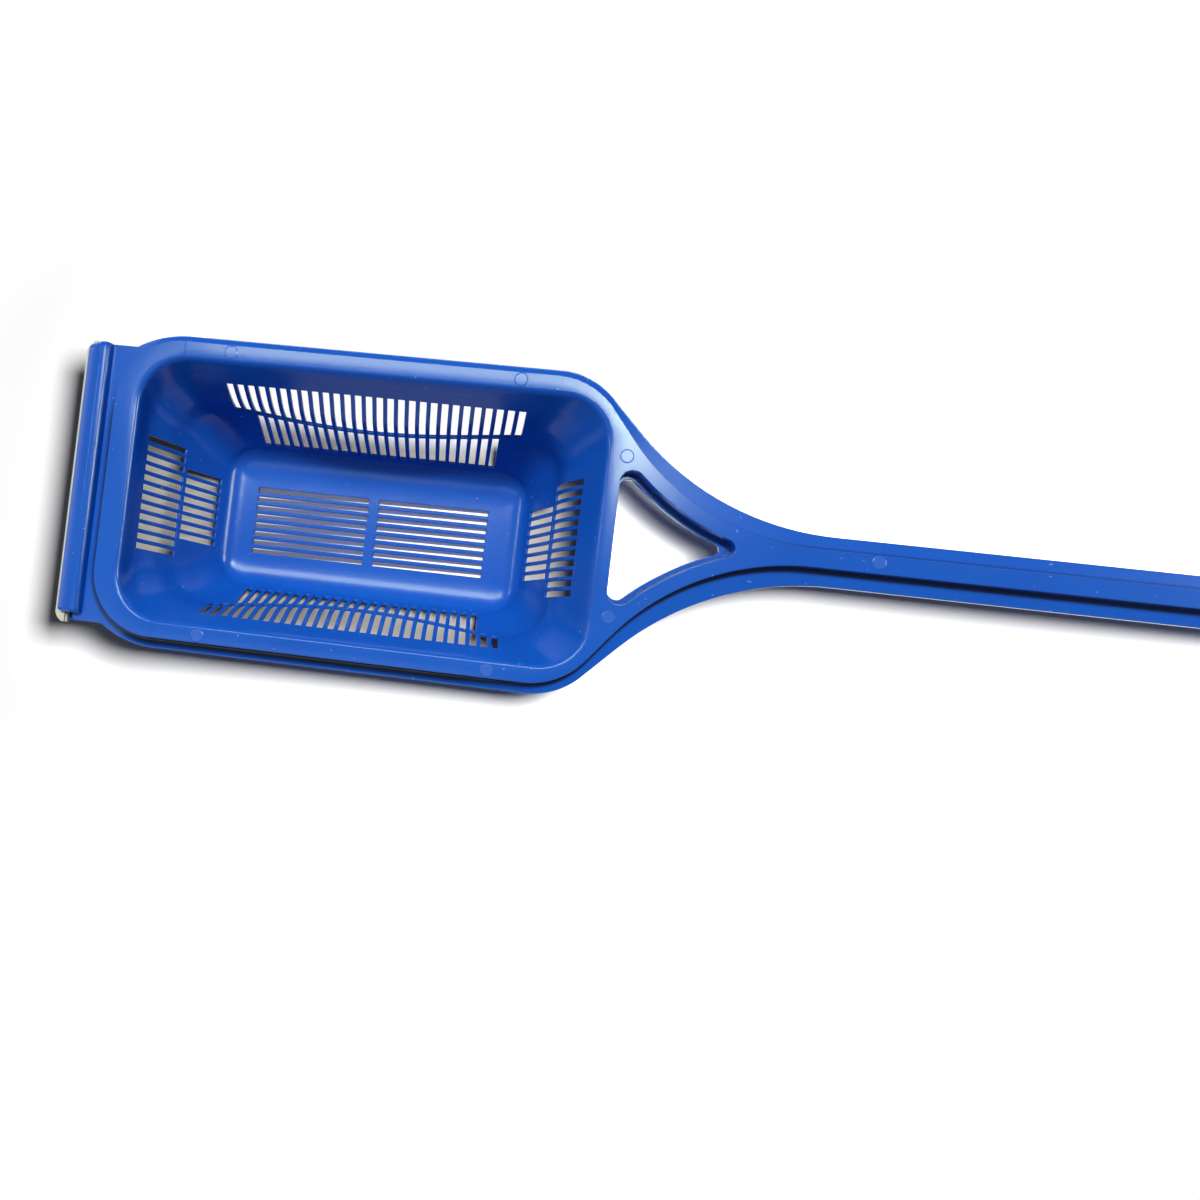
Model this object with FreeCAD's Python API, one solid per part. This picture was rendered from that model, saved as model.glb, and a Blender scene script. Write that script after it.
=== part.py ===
import FreeCAD, Part
import math
import os

os.makedirs("parts", exist_ok=True)

V = FreeCAD.Vector

# A slotted skimming basket on a long flat handle. Millimetres, +Z up.
# The origin is the centre of the basket floor's underside. The handle runs along +X,
# the scraping lip is at the -X end, and "right" is +Y, as seen from the grip.

# heights above the floor's underside
floor_thick = 3.0
rim_z = 67.0
roll_drop = 2.5
band_z = 54.0
belly_z = 43.0
land_z = 32.0
foot_z = 10.0
flange_drop = 5.8
flange_thick = 2.2

# Inside of the basket, from the mouth down: how far it reaches to the front, to the
# rear and to each side. A bow is how far the middle of a long wall stands further in
# than its ends. The rear wall flares out below the rim, and the front one is straighter.
mouth_x = 107.4
mouth_y = 60.4
roll_in_x = 3.6
roll_in_y = 2.5
band_front_x = 102.4
band_rear_x = 97.4
band_y = 53.3
belly_front_x = 97.0
belly_rear_x = 91.2
belly_y = 48.6
belly_bow = 3.4
land_front_x = 91.0
land_rear_x = 87.5
land_y = 46.7
land_bow = 4.9
foot_front_x = 78.2
foot_rear_x = 79.0
foot_y = 37.0
floor_x = 62.8
floor_y = 20.0

# corner radii of the inside, from the mouth down
mouth_r = 23.0
roll_r = 20.5
band_r = 19.0
belly_r = 18.3
land_r = 17.5
foot_r = 16.5
floor_r = 3.0

# walls and skins
wall_thick = 1.6
skin = 2.2

# slots in the long sides, in two rows with a land between them
land_high = 2.0
side_pitch = 5.0
side_slot = 3.0
side_upper_slots = 28
side_lower_slots = 24
side_top_z = 54.0
side_land_z = 33.1
side_foot_z = 11.7

# slots in the two end walls
end_pitch = 4.57
end_slot = 2.7
end_upper_slots = 12
end_lower_slots = 8
end_foot_z = 12.5
front_top_z = 53.7
front_land_z = 31.2
rear_top_z = 54.5
rear_land_z = 33.0

# slots in the floor: two blocks beside a middle rib
floor_pitch = 4.57
floor_slot = 2.6
floor_slots = 8
floor_rib = 5.2
floor_rib_x = -0.4
floor_front_end = 62.1
floor_rear_end = 59.0

# raised rim and yoke, outer edges of the top face
rim_front_x = 115.0
rim_side_y = 66.8
rim_front_r = 28.5
yoke_corner_x = 95.7
yoke_corner_r = 32.5
yoke_root_x = 145.7
yoke_flank_r = 102.0
bar_half = 3.9

# lower flange: how far it stands out, and its own corners
flange_side = 4.7
flange_front_r = 43.0
flange_front_x = 86.0
flange_corner_x = 95.9
flange_corner_r = 33.0
flange_root_x = 155.4
flange_flank_r = 120.0
flange_bar = 6.9

# yoke window
window_x = 111.3
arm_width = 6.3
window_corner_r = 5.3
window_tip_r = 3.7
window_ledge = 2.4
throat_gap = 4.0

# lip at the front: plate, clamp bar, rail and wiper strip
plate_left = 63.2
plate_right = 64.3
plate_x = 125.2
bar_back_x = 120.8
bar_front_x = 132.6
bar_left = 59.7
bar_right = 63.9
bar_rise = 4.4
bar_nose_rise = 0.4
ridge_round = 1.2
ridge_width = 3.8
bar_left_r = 2.2
bar_right_r = 4.0
groove_wall = 0.7
groove_depth = 1.3
groove_rib = 0.9
ceiling_cover = 1.0
key_width = 2.0
strip_reach = 2.2
strip_width = 5.9
strip_thick = 2.2
strip_left = 64.5
strip_right = 65.8
strip_corner_r = 5.0
strip_gap = 0.3
rail_wall = 1.8
rail_thick = 1.6
rail_hold = 0.6

# handle, grip and hook
handle_x = 212.0
grip_x = 810.0
grip_end_x = 990.0
grip_half = 14.5
grip_thick = 9.5
grip_taper = 26.0
grip_tail = 22.0
grip_r = 30.0
pocket_wall = 5.0
pocket_depth = 6.5
pocket_r = 5.0
hang_x = 961.0
hang_r = 2.75
neck_offset = 6.5
neck_half = 3.1
hook_thick = 7.0
hook_x = 1017.4
hook_outer_r = 8.8
hook_tip = 4.6
hook_tip_flat = 0.4

# shared positions worked out from the sizes above
flange_z = rim_z - flange_drop
flange_low_z = flange_z - flange_thick
roll_z = rim_z - roll_drop
skin_low_z = rim_z - skin
roll_x = mouth_x - roll_in_x
roll_y = mouth_y - roll_in_y
bar_outer = bar_half + flange_bar
flange_y = rim_side_y + flange_side

# a reach past the whole model, and the distance below which two points are one
big = 2 * grip_end_x
close = 1e-4


def rounded(points, z, bow=0.0):
    # Closed wire at height z: sides with a tangent arc at each corner. The sides that
    # run along X stand in by the bow at their middle.
    count = len(points)
    ends = []
    for i in range(count):
        x, y, r = points[i]
        here = V(x, y, z)
        if r <= 0:
            ends.append((here, None, here))
            continue
        back = V(points[i - 1][0], points[i - 1][1], z) - here
        ahead = V(points[(i + 1) % count][0], points[(i + 1) % count][1], z) - here
        back.normalize()
        ahead.normalize()
        half = back.getAngle(ahead) / 2.0
        reach = r / math.tan(half)
        middle = back + ahead
        middle.normalize()
        top = here + middle * (r / math.sin(half) - r)
        ends.append((here + back * reach, top, here + ahead * reach))
    edges = []
    for i in range(count):
        first, top, last = ends[i]
        if top is not None:
            edges.append(Part.Arc(first, top, last).toShape())
        start = ends[(i + 1) % count][0]
        if bow > 0 and abs(start.y - last.y) < close:
            inward = math.copysign(bow, last.y)
            middle = V((last.x + start.x) / 2.0, last.y - inward, z)
            edges.append(Part.Arc(last, middle, start).toShape())
        elif (start - last).Length > close:
            edges.append(Part.LineSegment(last, start).toShape())
    return Part.Wire(edges)


def prism(points, low, high):
    # upright solid of a rounded outline between two heights
    face = Part.Face(rounded(points, low))
    return face.extrude(V(0, 0, high - low))


def mirrored(points):
    # the points of one side, followed by the same ones of the other side
    other = [(x, -y, r) for x, y, r in reversed(points)]
    return points + other


def block(x0, x1, y0, y1, z0, z1):
    return Part.makeBox(x1 - x0, y1 - y0, z1 - z0, V(x0, y0, z0))


def profile(points, y0, y1):
    # solid of a section in the XZ plane, carried along Y
    corners = [V(x, y0, z) for x, z in points]
    corners.append(corners[0])
    return Part.Face(Part.makePolygon(corners)).extrude(V(0, y1 - y0, 0))


def upright_edges(solid, x):
    # the upright edges of a solid that stand at one x
    found = []
    for edge in solid.Edges:
        ends = [vertex.Point for vertex in edge.Vertexes]
        if len(ends) == 2 and abs(ends[0].x - x) < close and abs(ends[1].x - x) < close:
            if abs(ends[0].y - ends[1].y) < close:
                found.append(edge)
    return found


def oblong(front, rear, side, r):
    # rectangle with rounded corners, by its reach to the front, the rear and each side
    return [(-front, side, r), (rear, side, r), (rear, -side, r), (-front, -side, r)]


# Levels of the basket's inside, from the mouth down: reach to the front, the rear and
# each side, bow, corner radius and height. Between the foot of the walls and the floor
# the inside runs in one hollow curve, which sets out in line with each wall.
inside = [
    (mouth_x, mouth_x, mouth_y, 0, mouth_r, rim_z),
    (roll_x, roll_x, roll_y, 0, roll_r, roll_z),
    (band_front_x, band_rear_x, band_y, 0, band_r, band_z),
    (belly_front_x, belly_rear_x, belly_y, belly_bow, belly_r, belly_z),
    (land_front_x, land_rear_x, land_y, land_bow, land_r, land_z),
    (foot_front_x, foot_rear_x, foot_y, 0, foot_r, foot_z),
]
hollow_rise = foot_z - floor_thick
carry_on = hollow_rise / (land_z - foot_z)
bend_front = foot_front_x - carry_on * (land_front_x - foot_front_x)
bend_rear = foot_rear_x - carry_on * (land_rear_x - foot_rear_x)
bend_y = foot_y - carry_on * (land_y - land_bow - foot_y)
curve_steps = 4
for step in range(1, curve_steps + 1):
    t = step / curve_steps
    a = (1 - t) * (1 - t)
    b = 2 * t * (1 - t)
    c = t * t
    front = a * foot_front_x + b * bend_front + c * floor_x
    rear = a * foot_rear_x + b * bend_rear + c * floor_x
    side = a * foot_y + b * bend_y + c * floor_y
    r = foot_r + (floor_r - foot_r) * t
    z = floor_thick + a * hollow_rise
    inside.append((front, rear, side, 0, r, z))

# Outside of the basket: the wall's thickness outward, turning to the floor's below.
outside = []
for front, rear, side, bow, r, z in inside:
    turn = min(1.0, max(0.0, (foot_z - z) / hollow_rise)) * math.pi / 2
    out = wall_thick * math.cos(turn)
    down = floor_thick * math.sin(turn)
    outside.append((front + out, rear + out, side + out, bow, r + out, z - down))


def lofted(levels):
    wires = []
    for front, rear, side, bow, r, z in levels:
        wires.append(rounded(oblong(front, rear, side, r), z, bow))
    return Part.makeLoft(wires, True, True)


cavity = lofted(inside)
hull = lofted(outside)

# Raised rim, yoke and handle bar: outer edge of the top face.
top_outline = mirrored([
    (-rim_front_x, rim_side_y, rim_front_r),
    (yoke_corner_x, rim_side_y, yoke_corner_r),
    (yoke_root_x, bar_half, yoke_flank_r),
    (grip_x, bar_half, 0),
])

# Lower flange: it follows the rim a step lower and ends at the front plate.
front_centre_y = flange_y - flange_front_r
flange_outline = mirrored([
    (-rim_front_x, flange_y, 0),
    (flange_corner_x, flange_y, flange_corner_r),
    (flange_root_x, bar_outer, flange_flank_r),
    (grip_x, bar_outer, 0),
])

# Centre of each flank of the yoke, on the right-hand side. The window's two arcs run
# round the same centres, an arm's width further out.
flank_turn = math.atan2(rim_side_y - bar_half, yoke_root_x - yoke_corner_x)
flank_x = yoke_root_x + yoke_flank_r * math.tan(flank_turn / 2.0)
flank_y = bar_half + yoke_flank_r
window_r = yoke_flank_r + arm_width


def window(shrink, low, high):
    # three-sided yoke window between two heights, smaller all round where it shrinks
    radius = window_r + shrink
    left = window_x + min(0.0, shrink)
    corner_y = flank_y - math.sqrt(radius ** 2 - (flank_x - left) ** 2)
    tip_x = flank_x - math.sqrt(radius ** 2 - flank_y ** 2)
    first = math.atan2(corner_y - flank_y, left - flank_x)
    last = math.atan2(-flank_y, tip_x - flank_x)
    middle = (first + last) / 2.0
    mid = V(flank_x + radius * math.cos(middle), flank_y + radius * math.sin(middle), low)
    top = V(left, corner_y, low)
    tip = V(tip_x, 0, low)
    foot = V(left, -corner_y, low)
    edges = [
        Part.LineSegment(foot, top).toShape(),
        Part.Arc(top, mid, tip).toShape(),
        Part.Arc(tip, V(mid.x, -mid.y, low), foot).toShape(),
    ]
    solid = Part.Face(Part.Wire(edges)).extrude(V(0, 0, high - low))
    solid = solid.makeFillet(window_corner_r - shrink / 2.0, upright_edges(solid, left))
    return solid.makeFillet(window_tip_r - shrink / 2.0, upright_edges(solid, tip_x))


# Upper part of the moulding, from the flange's underside to the rim's top.
raised = prism(top_outline, flange_low_z, rim_z)
flange = prism(flange_outline, flange_low_z, flange_z)
corner_round = Part.makeCylinder(flange_front_r, flange_thick, V(-flange_front_x, front_centre_y, flange_low_z))
corner_keep = corner_round.fuse(corner_round.mirror(V(0, 0, 0), V(0, 1, 0)))
front_zone = block(-rim_front_x, -flange_front_x, -big, big, flange_low_z, flange_z)
front_plate_zone = block(-rim_front_x, -flange_front_x, -plate_left, plate_right, flange_low_z, flange_z)
front_flange = flange.common(front_zone).common(corner_keep.fuse(front_plate_zone))
flange = flange.cut(front_zone).fuse(front_flange)
inset_face = Part.Face(rounded(top_outline, flange_low_z)).makeOffset2D(-skin)
under = inset_face.extrude(V(0, 0, skin_low_z - flange_low_z))
under = under.cut(hull)
under = under.cut(window(-skin, flange_low_z, skin_low_z))
hull_top = hull.common(block(-big, big, -big, big, flange_low_z, rim_z))
upper = raised.fuse([flange, hull_top])
upper = upper.cut([under, cavity, window(0.0, flange_z, rim_z), window(window_ledge, flange_low_z, flange_z)])

# Lower part: the basket below the flange.
lower = hull.common(block(-big, big, -big, big, 0, flange_low_z)).cut(cavity)


def save(name, shape):
    shape = shape.removeSplitter()
    if len(shape.Solids) != 1 or not shape.isValid():
        print("check", name, len(shape.Solids), shape.isValid())
    shape.exportStep("parts/" + name + ".step")


def wall_run(along_x, z):
    # where the stretch of a wall between its two corner arcs begins and ends at height z
    for above, below in zip(inside, inside[1:]):
        if z >= below[-1]:
            break
    t = min(1.0, (above[-1] - z) / (above[-1] - below[-1]))
    front, rear, side, bow, r, height = [a + (b - a) * t for a, b in zip(above, below)]
    if along_x:
        return r - front, rear - r
    return r - side, side - r


def zone(along_x, sign, low_z, high_z):
    # upright wedge over that stretch of one wall, between two heights
    between = [level[-1] for level in inside if low_z + close < level[-1] < high_z - close]
    heights = [high_z] + between + [low_z]
    runs = [wall_run(along_x, z) for z in heights]
    ring = [(last, z) for (first, last), z in zip(runs, heights)]
    ring += [(first, z) for (first, last), z in zip(reversed(runs), reversed(heights))]
    corners = [V(run, 0, z) if along_x else V(0, run, z) for run, z in ring]
    corners.append(corners[0])
    face = Part.Face(Part.makePolygon(corners))
    return face.extrude(V(0, sign * big, 0) if along_x else V(sign * big, 0, 0))


def slot_row(along_x, sign, count, low, high):
    # upright cutters through one wall, evenly spaced about its middle
    pitch = side_pitch if along_x else end_pitch
    width = side_slot if along_x else end_slot
    row = []
    for k in range(count):
        start = (k - (count - 1) / 2.0) * pitch - width / 2
        if along_x:
            low_y, high_y = sorted((sign * floor_y, sign * big))
            row.append(block(start, start + width, low_y, high_y, low, high))
        else:
            low_x, high_x = sorted((sign * floor_x, sign * big))
            row.append(block(low_x, high_x, start, start + width, low, high))
    return row


# Floor grille: slots in two blocks, with a rib across the middle.
floor_cutters = []
rib_front_x = floor_rib_x - floor_rib / 2
rib_rear_x = floor_rib_x + floor_rib / 2
for m in range(floor_slots):
    start = (m - (floor_slots - 1) / 2.0) * floor_pitch - floor_slot / 2
    for front, rear in ((-floor_front_end, rib_front_x), (rib_rear_x, floor_rear_end)):
        floor_cutters.append(block(front, rear, start, start + floor_slot, -floor_thick, 2 * floor_thick))
floor_zone = prism(oblong(floor_x, floor_x, floor_y, floor_r), 0, floor_thick)
save("floor_grille", lower.common(floor_zone).cut(floor_cutters))

# Round the floor, four hollow curves, and on them the four walls with their slots.
basin = lower.cut(floor_zone)
pan = basin.common(block(-big, big, -big, big, 0, foot_z))
walls = basin.common(block(-big, big, -big, big, foot_z, flange_low_z))
side_rows = [
    (side_upper_slots, side_land_z + land_high, side_top_z),
    (side_lower_slots, side_foot_z, side_land_z),
]
front_rows = [
    (end_upper_slots, front_land_z + land_high, front_top_z),
    (end_lower_slots, end_foot_z, front_land_z),
]
rear_rows = [
    (end_upper_slots, rear_land_z + land_high, rear_top_z),
    (end_lower_slots, end_foot_z, rear_land_z),
]
corner_all = basin
for name, along_x, sign, rows in (("right", True, 1, side_rows), ("left", True, -1, side_rows),
                                  ("front", False, -1, front_rows), ("rear", False, 1, rear_rows)):
    low_zone = zone(along_x, sign, 0, foot_z)
    high_zone = zone(along_x, sign, foot_z, flange_low_z)
    save("pan_" + name, pan.common(low_zone))
    wall = walls.common(high_zone)
    for count, low, high in rows:
        wall = wall.cut(slot_row(along_x, sign, count, low, high))
    save("wall_" + name, wall)
    corner_all = corner_all.cut([low_zone, high_zone])

# Rounded corners of the basket, from the floor's edge up to the flange.
for sx, end_name in ((-1, "front"), (1, "rear")):
    for sy, side_name in ((1, "right"), (-1, "left")):
        quarter = block(min(0, sx * big), max(0, sx * big), min(0, sy * big), max(0, sy * big), 0, rim_z)
        save("corner_" + end_name + "_" + side_name, corner_all.common(quarter))

# Rim, yoke and handle bar, cut from the upper part. The arms end a little past the
# rounded tip of the window.
rim_run_x = roll_x - roll_r
rim_run_y = roll_y - roll_r
window_end_x = flank_x - math.sqrt((window_r + window_tip_r) ** 2 - flank_y ** 2) + window_tip_r
arm_end_x = window_end_x + throat_gap
for sy, side_name in ((1, "right"), (-1, "left")):
    y_low, y_high = sorted((0, sy * big))
    save("rim_" + side_name, upper.common(block(-rim_run_x, rim_run_x, y_low, y_high, 0, big)))
    save("yoke_arm_" + side_name, upper.common(block(window_x, arm_end_x, y_low, y_high, 0, big)))
    y_low, y_high = sorted((sy * rim_run_y, sy * big))
    front_corner = block(-rim_front_x, -rim_run_x, y_low, y_high, 0, big)
    save("rim_corner_front_" + side_name, upper.common(front_corner))
    rear_corner = block(rim_run_x, window_x, y_low, y_high, 0, big)
    save("rim_corner_rear_" + side_name, upper.common(rear_corner))
save("rim_front", upper.common(block(-rim_front_x, -rim_run_x, -rim_run_y, rim_run_y, 0, big)))
save("rim_rear", upper.common(block(rim_run_x, window_x, -rim_run_y, rim_run_y, 0, big)))
save("yoke_throat", upper.common(block(arm_end_x, handle_x, -big, big, 0, big)))
save("handle", upper.common(block(handle_x, grip_x, -big, big, 0, big)))

# Grip: a flat bar with tapered ends and a long pocket in its top.
neck_y = -neck_offset
grip_outline = [
    (grip_x, bar_outer, 0),
    (grip_x + grip_taper, grip_half, grip_r),
    (grip_end_x - grip_tail, grip_half, grip_r / 2),
    (grip_end_x, neck_y + neck_half, 0),
    (grip_end_x, neck_y - neck_half, 0),
    (grip_end_x - grip_tail, -grip_half, grip_r),
    (grip_x + grip_taper, -grip_half, grip_r),
    (grip_x, -bar_outer, 0),
]
grip_low_z = rim_z - grip_thick
grip = prism(grip_outline, grip_low_z, rim_z)
pocket_half = grip_half - pocket_wall
pocket_outline = [
    (grip_x + pocket_wall, 0, pocket_r),
    (grip_x + grip_taper, pocket_half, grip_r),
    (grip_end_x - grip_tail, pocket_half, grip_r / 2),
    (grip_end_x - pocket_wall, neck_y + neck_half - pocket_wall / 2, pocket_r / 2),
    (grip_end_x - grip_tail, -pocket_half, grip_r / 2),
    (grip_x + grip_taper, -pocket_half, grip_r),
]
pocket = prism(pocket_outline, rim_z - pocket_depth, rim_z)
hang_hole = Part.makeCylinder(hang_r, grip_thick, V(hang_x, 0, grip_low_z))
save("grip", grip.cut([pocket, hang_hole]))

# Neck and hook, flat-sided, curling back toward the right.
hook_low_z = rim_z - hook_thick
hook_width = 2 * neck_half
hook_y = neck_y - neck_half + hook_outer_r
neck = block(grip_end_x, hook_x, neck_y - neck_half, neck_y + neck_half, hook_low_z, rim_z)
save("neck", neck)
hook_inner_r = hook_outer_r - hook_width
ring = Part.makeCylinder(hook_outer_r, hook_thick, V(hook_x, hook_y, hook_low_z))
ring = ring.cut(Part.makeCylinder(hook_inner_r, hook_thick, V(hook_x, hook_y, hook_low_z)))
ring = ring.common(block(hook_x, hook_x + big, -big, big, hook_low_z, rim_z))
tip = block(hook_x - hook_tip, hook_x, hook_y + hook_inner_r, hook_y + hook_outer_r, hook_low_z, rim_z)
tip = tip.makeFillet((hook_width - hook_tip_flat) / 2, upright_edges(tip, hook_x - hook_tip))
save("hook", ring.fuse(tip))

# Front plate, and the clamp bar that stands on it: a rounded ridge behind, a face
# sloping down to the front, and a groove underneath for the strip's key.
save("lip_plate", block(-plate_x, -rim_front_x, -plate_left, plate_right, flange_low_z, flange_z))
ridge_z = flange_z + bar_rise
ceiling = flange_z - ceiling_cover
groove_z = ceiling - groove_depth
nose_x = -bar_front_x
groove_x = nose_x + groove_wall
rib_x = groove_x + key_width + 2 * strip_gap
bar_points = [
    (-bar_back_x, flange_z),
    (-bar_back_x, ridge_z - ridge_round),
    (-bar_back_x - ridge_round, ridge_z),
    (-bar_back_x - ridge_width, ridge_z),
    (nose_x, flange_z + bar_nose_rise),
    (nose_x, groove_z),
    (groove_x, groove_z),
    (groove_x, ceiling),
    (rib_x, ceiling),
    (rib_x, groove_z),
    (rib_x + groove_rib, groove_z),
    (rib_x + groove_rib, ceiling),
    (-plate_x, ceiling),
    (-plate_x, flange_z),
]
bar_plan = [
    (nose_x, -bar_left, bar_left_r),
    (nose_x, bar_right, bar_right_r),
    (-bar_back_x, bar_right, 0),
    (-bar_back_x, -bar_left, bar_left_r),
]
save("lip_clamp_bar", profile(bar_points, -bar_left, bar_right).common(prism(bar_plan, 0, big)))

# Wiper strip: a soft blade with a key that slides endways in the bar's groove.
strip_front_x = nose_x - strip_reach
strip_back_x = strip_front_x + strip_width
strip_top_z = groove_z - strip_gap
strip_low_z = strip_top_z - strip_thick
key_x = groove_x + strip_gap
strip_points = [
    (strip_front_x, strip_low_z),
    (strip_back_x, strip_low_z),
    (strip_back_x, strip_top_z),
    (key_x + key_width, strip_top_z),
    (key_x + key_width, ceiling - strip_gap),
    (key_x, ceiling - strip_gap),
    (key_x, strip_top_z),
    (strip_front_x, strip_top_z),
]
strip_plan = [
    (strip_front_x, -strip_left, strip_corner_r),
    (strip_front_x, strip_right, strip_corner_r),
    (strip_back_x, strip_right, 0),
    (strip_back_x, -strip_left, 0),
]
save("wiper_strip", profile(strip_points, -strip_left, strip_right).common(prism(strip_plan, 0, big)))

# Rail: a web down from the plate's front edge, with a foot that reaches under the strip.
rail_top_z = strip_low_z - strip_gap
rail_low_z = rail_top_z - rail_thick
rail_front_x = strip_back_x - rail_hold
rail_points = [
    (-plate_x, flange_low_z),
    (-plate_x + rail_wall, flange_low_z),
    (-plate_x + rail_wall, rail_low_z),
    (rail_front_x, rail_low_z),
    (rail_front_x, rail_top_z),
    (-plate_x, rail_top_z),
]
save("lip_rail", profile(rail_points, -plate_left, plate_right))
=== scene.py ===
import math

import bmesh
import bpy
import numpy as np
from mathutils import Matrix, Vector
from mathutils.geometry import delaunay_2d_cdt


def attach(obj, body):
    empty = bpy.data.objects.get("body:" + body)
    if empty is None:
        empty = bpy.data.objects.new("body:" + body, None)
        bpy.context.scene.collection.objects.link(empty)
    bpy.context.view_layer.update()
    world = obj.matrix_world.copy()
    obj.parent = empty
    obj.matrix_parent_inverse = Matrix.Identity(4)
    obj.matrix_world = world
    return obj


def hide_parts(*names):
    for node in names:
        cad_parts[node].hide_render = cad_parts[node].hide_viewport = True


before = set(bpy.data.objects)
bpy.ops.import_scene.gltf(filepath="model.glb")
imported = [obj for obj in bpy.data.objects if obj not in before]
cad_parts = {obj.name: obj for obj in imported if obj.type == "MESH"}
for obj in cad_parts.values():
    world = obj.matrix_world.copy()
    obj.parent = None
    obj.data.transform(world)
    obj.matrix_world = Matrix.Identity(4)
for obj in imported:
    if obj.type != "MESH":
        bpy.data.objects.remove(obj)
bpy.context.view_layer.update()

# Photographer's place: the camera stands over the basket and looks almost straight down,
# as in the photograph of the scoop end. Its numbers are the photograph's own, in pixels
# of its 1200-pixel frame for the lens and in metres for the place.
photo_size = 1200.0
camera_focal = 767.87
camera_middle = (393.05, 643.64)
camera_place = (0.04697, -0.05929, 0.4006)
camera_right = (0.99035, 0.11908, -0.07093)
camera_down = (0.11823, -0.99286, -0.01608)
camera_ahead = (-0.07234, 0.00754, -0.99735)
sensor_width = 36.0
nearest_seen = 0.01


def turned(thing, right, up, back, place):
    """Turns a camera or lamp by its own right, up and backward directions, and places it."""
    rows = [[float(value) for value in row] for row in zip(right, up, back, place)]
    thing.matrix_world = Matrix(rows + [[0.0, 0.0, 0.0, 1.0]])


camera = bpy.data.cameras.new("camera")
camera_object = bpy.data.objects.new("camera", camera)
bpy.context.collection.objects.link(camera_object)
bpy.context.scene.camera = camera_object
turned(camera_object, camera_right, -np.array(camera_down), -np.array(camera_ahead), camera_place)
camera.sensor_width = sensor_width
camera.sensor_fit = "HORIZONTAL"
camera.lens = sensor_width * camera_focal / photo_size
camera.shift_x = (photo_size / 2.0 - camera_middle[0]) / photo_size
camera.shift_y = (camera_middle[1] - photo_size / 2.0) / photo_size
camera.clip_start = nearest_seen
bpy.context.scene.view_settings.view_transform = "Standard"


# Table: a plain white sheet under the skimmer. The camera, gloss and clear pieces see a
# brighter white than the light does, and the sheet keeps the skimmer's soft shadow.
class Flow:
    """A shader socket with arithmetic: an expression on values adds its Math nodes."""

    def __init__(self, tree, socket):
        self.tree = tree
        self.socket = socket

    def maths(self, operation, *values):
        node = self.tree.nodes.new("ShaderNodeMath")
        node.operation = operation
        for socket, value in zip(node.inputs, values):
            if isinstance(value, Flow):
                self.tree.links.new(value.socket, socket)
            else:
                socket.default_value = value
        return Flow(self.tree, node.outputs[0])

    def __add__(self, other):
        return self.maths("ADD", self, other)

    def __radd__(self, other):
        return self.maths("ADD", other, self)

    def __sub__(self, other):
        return self.maths("SUBTRACT", self, other)

    def __rsub__(self, other):
        return self.maths("SUBTRACT", other, self)

    def __mul__(self, other):
        return self.maths("MULTIPLY", self, other)

    def __rmul__(self, other):
        return self.maths("MULTIPLY", other, self)

    def __pow__(self, other):
        return self.maths("POWER", self, other)

    def __abs__(self):
        return self.maths("ABSOLUTE", self)

    def __lt__(self, other):
        return self.maths("LESS_THAN", self, other)

    def __gt__(self, other):
        return self.maths("GREATER_THAN", self, other)

    def at_least(self, other):
        return self.maths("MAXIMUM", self, other)

    def at_most(self, other):
        return self.maths("MINIMUM", self, other)


class Finish:
    """A new material, whose nodes are added one call at a time."""

    def __init__(self, name):
        self.material = bpy.data.materials.new(name)
        self.material.use_nodes = True
        self.tree = self.material.node_tree
        self.tree.nodes.clear()

    def node(self, kind, settings=None, sockets=None, out=0):
        """Adds a node of a type: its settings first, then its sockets' values or links."""
        node = self.tree.nodes.new("ShaderNode" + kind)
        for name, value in (settings or {}).items():
            setattr(node, name, value)
        for name, value in (sockets or {}).items():
            if isinstance(value, Flow):
                self.tree.links.new(value.socket, node.inputs[name])
            else:
                node.inputs[name].default_value = value
        return Flow(self.tree, node.outputs[out]) if node.outputs else None

    def rising(self, value, start, end, soft=False):
        """From 0 at start to 1 at end, either of which may be the greater, in a straight
        line or, if soft, an S. Past them it stays at 0 and 1."""
        settings = {"interpolation_type": "SMOOTHSTEP"} if soft else {}
        return self.node("MapRange", settings, {"Value": value, "From Min": start, "From Max": end})

    def mixed(self, share, first, last):
        """A colour between two, by the share of the last: Mix has its factor on socket 0,
        its colours on 6 and 7 and their mixture on output 2."""
        return self.node("Mix", {"data_type": "RGBA"}, {0: share, 6: first, 7: last}, out=2)

    def noise(self, place, scale, detail):
        """Noise round 0.5 with so many waves a metre, and as many finer ones as its detail."""
        return self.node("TexNoise", sockets={"Vector": place, "Scale": scale, "Detail": detail})


def added(name, mesh):
    """Puts a mesh in the scene as an object of that name."""
    piece = bpy.data.objects.new(name, mesh)
    bpy.context.collection.objects.link(piece)
    return piece


sheet_drop = 0.0006
sheet_reach = 6.0
dip_drop = 0.0054
dip_front = -0.0640
dip_rear = 0.0615
dip_side = 0.0205
sheet_white = (0.35, 0.35, 0.35, 1.0)
sheet_seen = (0.9, 0.9, 0.9, 1.0)
glow_near = 0.015
glow_far = 0.07
glow_white = (1.0, 1.0, 1.0, 1.0)
painted_glow_under = 0.12
# Painted light: a white strip of the sheet just past the basket's far side, where its shadow would
# fall.
far_glow_y = (0.050, 0.062)
far_glow_x = 0.100
# Painted shade: the grey painted on the sheet under the basket, where it lies and how soft its
# edges are.
sheet_painted_shade = (0.42, 0.40, 0.36, 1.0)
shade_far_y = (0.044, 0.054)
shade_near_y = -0.062
shade_ends_x = (-0.134, 0.117)
shade_soft = 0.008
basket_reach = (0.16, 0.075)
handle_middle = 0.45
handle_reach = 0.58

# Numbers of the outputs that are used of Light Path and of Texture Coordinate.
camera_ray = 0
gloss_ray = 3
clear_ray = 6
object_place = 3

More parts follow.
